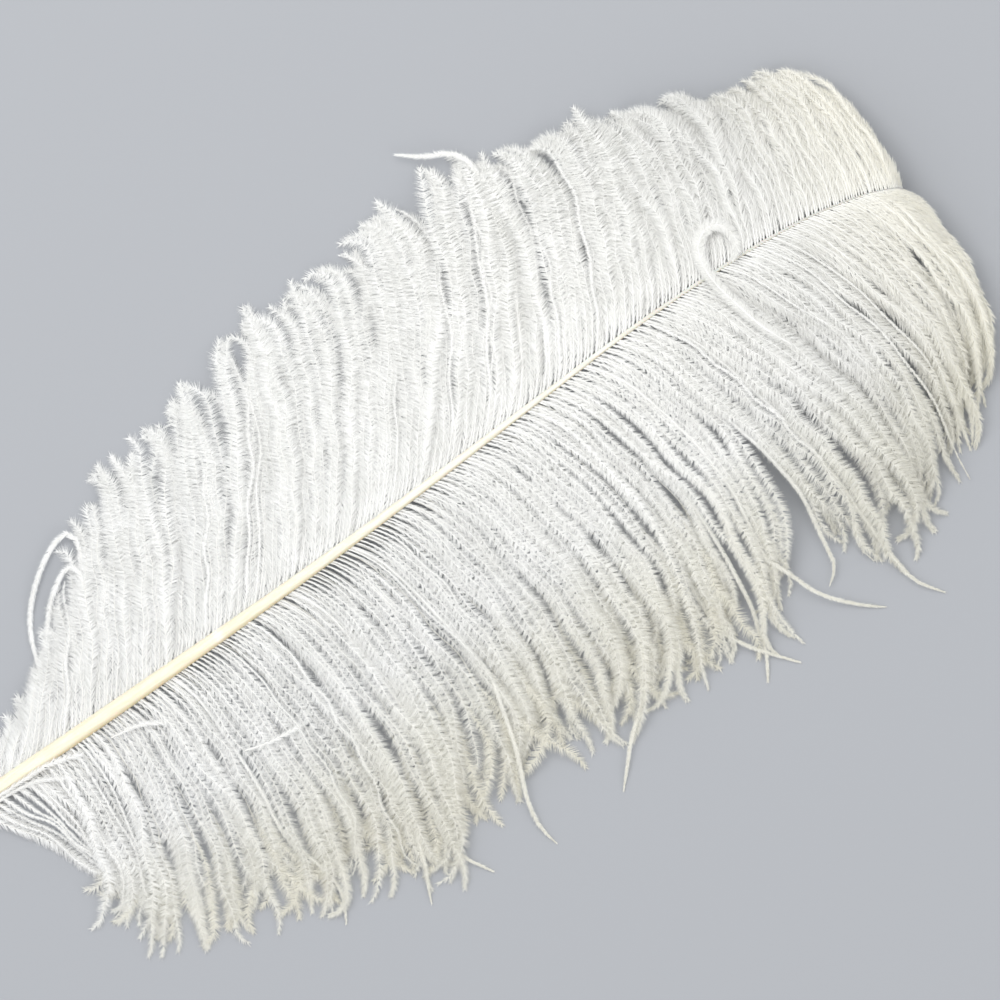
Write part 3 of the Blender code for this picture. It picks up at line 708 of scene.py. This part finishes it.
def add_shaft(material):
    """The quill and shaft: a slightly flattened tube with a groove along its underside."""
    path = resample(SHAFT_CURVE, SHAFT_RINGS)
    _, aside, up = (axis[0] for axis in frames_along(path[None]))
    radius = table_values(SHAFT_RADII, 1, path[:, 0])
    turn = np.linspace(0.0, 2 * np.pi, SHAFT_SIDES, endpoint=False)
    groove = 1.0 - GROOVE_DEPTH * np.exp(-((turn - DOWN) / GROOVE_WIDTH) ** 2)
    across = np.cos(turn) * groove
    rise = np.sin(turn) * groove * SHAFT_FLATTEN
    rings = (path[:, None] + (aside[:, None] * across[:, None] + up[:, None] * rise[:, None])
             * radius[:, None, None])
    points = np.concatenate([rings.reshape(-1, 3), path[:1], path[-1:]])
    index = np.arange(SHAFT_RINGS * SHAFT_SIDES).reshape(SHAFT_RINGS, SHAFT_SIDES)
    nxt = np.roll(index, -1, axis=1)
    faces = np.stack([index[:-1], nxt[:-1], nxt[1:], index[1:]], -1).reshape(-1, 4).tolist()
    start, end = len(points) - 2, len(points) - 1
    faces += [[start, b, a] for a, b in zip(index[0], nxt[0])]
    faces += [[end, a, b] for a, b in zip(index[-1], nxt[-1])]
    mesh = bpy.data.meshes.new("shaft")
    mesh.from_pydata((points + FIELD_TO_FRAME).tolist(), [], faces)
    mesh.polygons.foreach_set("use_smooth", np.ones(len(mesh.polygons), bool))
    mesh.materials.append(material)
    place_piece("shaft", mesh)


# ---- materials -------------------------------------------------------------------------------
WHITE = (1.0, 1.0, 1.0)
BOX_ALONG = (-0.285, 0.280)
BOX_ACROSS = (-0.158, 0.0)
# A fibre's tints from the quill's end to the tip, the share of light that passes through it, and
# its roughness.
FIBRES = {
    "barbs": ([(0.0, (0.97, 0.96, 0.93)), (0.6, (0.97, 0.965, 0.945)), (0.9, (0.955, 0.95, 0.93)),
               (1.0, (0.96, 0.95, 0.895))], 0.15, 0.45),
    "barbules": ([(0.0, (0.955, 0.955, 0.95)), (0.4, (0.965, 0.965, 0.955)),
                  (0.72, (0.975, 0.973, 0.958)), (0.88, (0.92, 0.918, 0.90)),
                  (1.0, (0.955, 0.94, 0.88))], 0.45, 0.6),
    "under": ([(0.0, (0.90, 0.89, 0.85)), (1.0, (0.91, 0.90, 0.85))], 0.35, 0.6),
}
# From the right edge to the middle.
EDGE_TINTS = [(0.0, (0.91, 0.90, 0.85)), (0.3, (0.92, 0.91, 0.865)), (0.5, (0.95, 0.945, 0.915)),
              (0.72, WHITE)]
MOTTLE = [(0.3, (0.955, 0.955, 0.95)), (0.7, WHITE)]
MOTTLE_SCALE = 55.0
MOTTLE_DETAIL = 3.0
FIBRE_GLOSS = 0.3
SHAFT_TINTS = [
    (0.0, (0.70, 0.68, 0.59)), (0.10, (0.80, 0.76, 0.61)), (0.304, (0.78, 0.73, 0.58)),
    (0.309, (0.84, 0.81, 0.72)), (0.316, (0.76, 0.72, 0.57)), (0.5, (0.76, 0.75, 0.66)),
    (0.7, (0.69, 0.69, 0.64)), (0.86, (0.54, 0.54, 0.51)), (1.0, (0.42, 0.41, 0.39))]
STREAK_TINTS = [(0.3, (0.90, 0.88, 0.82)), (0.65, WHITE)]
STREAK_STRETCH = (40.0, 900.0, 900.0)
STREAK_DETAIL = 4.0
# Painted shade: tan on the shaft's side that faces away from the key light, white on the lit side.
SHADY_SIDE_TINTS = [(0.0, (0.80, 0.70, 0.52)), (0.35, WHITE)]
FLOOR_COLOUR = (0.325, 0.335, 0.355, 1.0)


def new_material(name):
    material = bpy.data.materials.new(name)
    material.use_nodes = True
    tree = material.node_tree
    tree.nodes.clear()
    return material, tree


def node(tree, kind, sockets=(), **settings):
    """A new node, with its settings and the constants of its sockets."""
    made = tree.nodes.new(kind)
    for key, value in settings.items():
        setattr(made, key, value)
    for socket, value in sockets:
        made.inputs[socket].default_value = value
    return made


def surface(tree, shader):
    output = node(tree, "ShaderNodeOutputMaterial")
    tree.links.new(shader.outputs[0], output.inputs["Surface"])


def ramp(tree, source, stops):
    made = node(tree, "ShaderNodeValToRGB")
    points = made.color_ramp.elements
    while len(points) < len(stops):
        points.new(0.5)
    for point, (place, colour) in zip(points, stops):
        point.position = place
        point.color = (*colour, 1.0)
    tree.links.new(source, made.inputs[0])
    return made.outputs[0]


def multiply(tree, first, second):
    made = node(tree, "ShaderNodeMix", [(0, 1.0)], data_type="RGBA", blend_type="MULTIPLY")
    tree.links.new(first, made.inputs[6])
    tree.links.new(second, made.inputs[7])
    return made.outputs[2]


def noise(tree, vector, scale, detail):
    made = node(tree, "ShaderNodeTexNoise", [("Scale", scale), ("Detail", detail)])
    tree.links.new(vector, made.inputs["Vector"])
    return made.outputs[0]


def in_reach(tree, vector, axis, least, most):
    """0 to 1 as one part of a vector goes from its least to its most."""
    split = node(tree, "ShaderNodeSeparateXYZ")
    tree.links.new(vector, split.inputs[0])
    share = node(tree, "ShaderNodeMapRange", [("From Min", least), ("From Max", most)])
    tree.links.new(split.outputs[axis], share.inputs["Value"])
    return share.outputs[0]


def fibre_material(name, tints, through_share, roughness):
    """White fibre that lets part of the light through, creamier towards the tip and right edge."""
    material, tree = new_material(name)
    place = node(tree, "ShaderNodeTexCoord").outputs["Object"]
    along = ramp(tree, in_reach(tree, place, "X", *BOX_ALONG), tints)
    edge = ramp(tree, in_reach(tree, place, "Y", *BOX_ACROSS), EDGE_TINTS)
    mottle = ramp(tree, noise(tree, place, MOTTLE_SCALE, MOTTLE_DETAIL), MOTTLE)
    colour = multiply(tree, multiply(tree, along, edge), mottle)
    shader = node(tree, "ShaderNodeBsdfPrincipled",
                  [("Roughness", roughness), ("Specular IOR Level", FIBRE_GLOSS)])
    tree.links.new(colour, shader.inputs["Base Color"])
    through = node(tree, "ShaderNodeBsdfTranslucent")
    tree.links.new(colour, through.inputs["Color"])
    mix = node(tree, "ShaderNodeMixShader", [(0, through_share)])
    tree.links.new(shader.outputs[0], mix.inputs[1])
    tree.links.new(through.outputs[0], mix.inputs[2])
    surface(tree, mix)
    return material


def shaft_material():
    """Cream horn with lengthwise streaks, a pale ring at an old kink, and painted tan shade along
    the side turned away from the key light.
    """
    material, tree = new_material("shaft")
    link = tree.links.new
    place = node(tree, "ShaderNodeTexCoord").outputs["Object"]
    tint = ramp(tree, in_reach(tree, place, "X", *BOX_ALONG), SHAFT_TINTS)
    stretch = node(tree, "ShaderNodeMapping", [("Scale", STREAK_STRETCH)])
    link(place, stretch.inputs["Vector"])
    streaks = noise(tree, stretch.outputs[0], 1.0, STREAK_DETAIL)
    grain = ramp(tree, streaks, STREAK_TINTS)
    # Painted shade, by which way the surface faces: tan where it turns away from the key light.
    normal = node(tree, "ShaderNodeNewGeometry").outputs["Normal"]
    edge = ramp(tree, in_reach(tree, normal, "Y", -1.0, 1.0), SHADY_SIDE_TINTS)
    colour = multiply(tree, multiply(tree, tint, grain), edge)
    shader = node(tree, "ShaderNodeBsdfPrincipled", [
        ("Roughness", 0.42), ("Subsurface Weight", 0.15), ("Subsurface Scale", 0.002)])
    link(colour, shader.inputs["Base Color"])
    bump = node(tree, "ShaderNodeBump", [("Strength", 0.25), ("Distance", 0.0003)])
    link(streaks, bump.inputs["Height"])
    link(bump.outputs[0], shader.inputs["Normal"])
    surface(tree, shader)
    return material


def floor_material():
    material, tree = new_material("floor")
    surface(tree, node(tree, "ShaderNodeBsdfPrincipled",
                       [("Base Color", FLOOR_COLOUR), ("Roughness", 0.9)]))
    return material


# ---- the studio ------------------------------------------------------------------------------
TURN = math.radians(33.5)  # of the picture's frame against the feather's
VIEW_WIDTH = 0.47  # of the picture, at the feather's middle height
VIEW_MIDDLE = (0.0359, -0.0053)
VIEW_HEIGHT = 0.025
CAMERA_DISTANCE = 3.0
SENSOR_WIDTH = 36.0  # millimetres
SIGHT_REACH = 20.0  # how far the camera sees
FLOOR_SIDE = 12.0
# Square area lights that face the feather. Azimuth 0 is the picture's right, and 90 its top.
LIGHTS = [
    dict(name="key", azimuth=125, elevation=64, distance=2.2, size=1.8, power=35.0,
         colour=(1.0, 0.995, 0.98)),
    dict(name="fill", azimuth=-40, elevation=40, distance=2.4, size=1.8, power=12.0,
         colour=(1.0, 0.98, 0.95)),
]
SKY_COLOUR = (0.96, 0.975, 1.0, 1.0)
SKY_STRENGTH = 0.90


def add_camera():
    data = bpy.data.cameras.new("camera")
    data.sensor_width = SENSOR_WIDTH
    data.lens = SENSOR_WIDTH * CAMERA_DISTANCE / VIEW_WIDTH
    data.clip_end = SIGHT_REACH
    camera = add_object("camera", data)
    camera.location = (*VIEW_MIDDLE, VIEW_HEIGHT + CAMERA_DISTANCE)
    camera.rotation_euler = (0.0, 0.0, -TURN)
    bpy.context.scene.camera = camera


def add_light(name, azimuth, elevation, distance, size, power, colour):
    data = bpy.data.lights.new(name, "AREA")
    data.size = size
    data.energy = power
    data.color = colour
    lamp = add_object(name, data)
    around = math.radians(azimuth) - TURN
    up = math.radians(elevation)
    way = np.array([math.cos(around) * math.cos(up), math.sin(around) * math.cos(up), math.sin(up)])
    lamp.location = way * distance
    lamp.rotation_euler = (math.pi / 2 - up, 0.0, around + math.pi / 2)


def add_studio():
    mesh = bpy.data.meshes.new("floor")
    half = FLOOR_SIDE / 2
    outline = [(-half, -half, 0), (half, -half, 0), (half, half, 0), (-half, half, 0)]
    mesh.from_pydata(outline, [], [(0, 1, 2, 3)])
    mesh.materials.append(floor_material())
    add_object("floor", mesh)
    for light in LIGHTS:
        add_light(**light)
    world = bpy.data.worlds.new("studio")
    world.use_nodes = True
    sky = world.node_tree.nodes["Background"]
    sky.inputs["Color"].default_value = SKY_COLOUR
    sky.inputs["Strength"].default_value = SKY_STRENGTH
    bpy.context.scene.world = world
    bpy.context.scene.view_settings.view_transform = "Standard"


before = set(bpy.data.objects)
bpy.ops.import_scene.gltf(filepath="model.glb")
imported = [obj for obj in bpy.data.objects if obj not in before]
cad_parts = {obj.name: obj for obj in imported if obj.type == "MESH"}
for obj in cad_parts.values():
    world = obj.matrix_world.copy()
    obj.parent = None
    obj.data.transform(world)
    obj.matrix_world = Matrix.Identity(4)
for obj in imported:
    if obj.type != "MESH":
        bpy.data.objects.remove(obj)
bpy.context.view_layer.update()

lock_ways = lock_strays()
fibres = {name: fibre_material(name, *look) for name, look in FIBRES.items()}
for vane_side in VANES:
    add_vane(vane_side, lock_ways, fibres)
chance = np.random.default_rng(UNDER_SEED)
add_group("under", make_underlay("right", lock_ways, chance), chance,
          fibres["under"], fibres["under"])
chance = np.random.default_rng(STRAND_SEED)
add_group("strand", make_strands(lock_ways, chance), chance,
          fibres["barbs"], fibres["barbules"])
add_shaft(shaft_material())
add_studio()
add_camera()
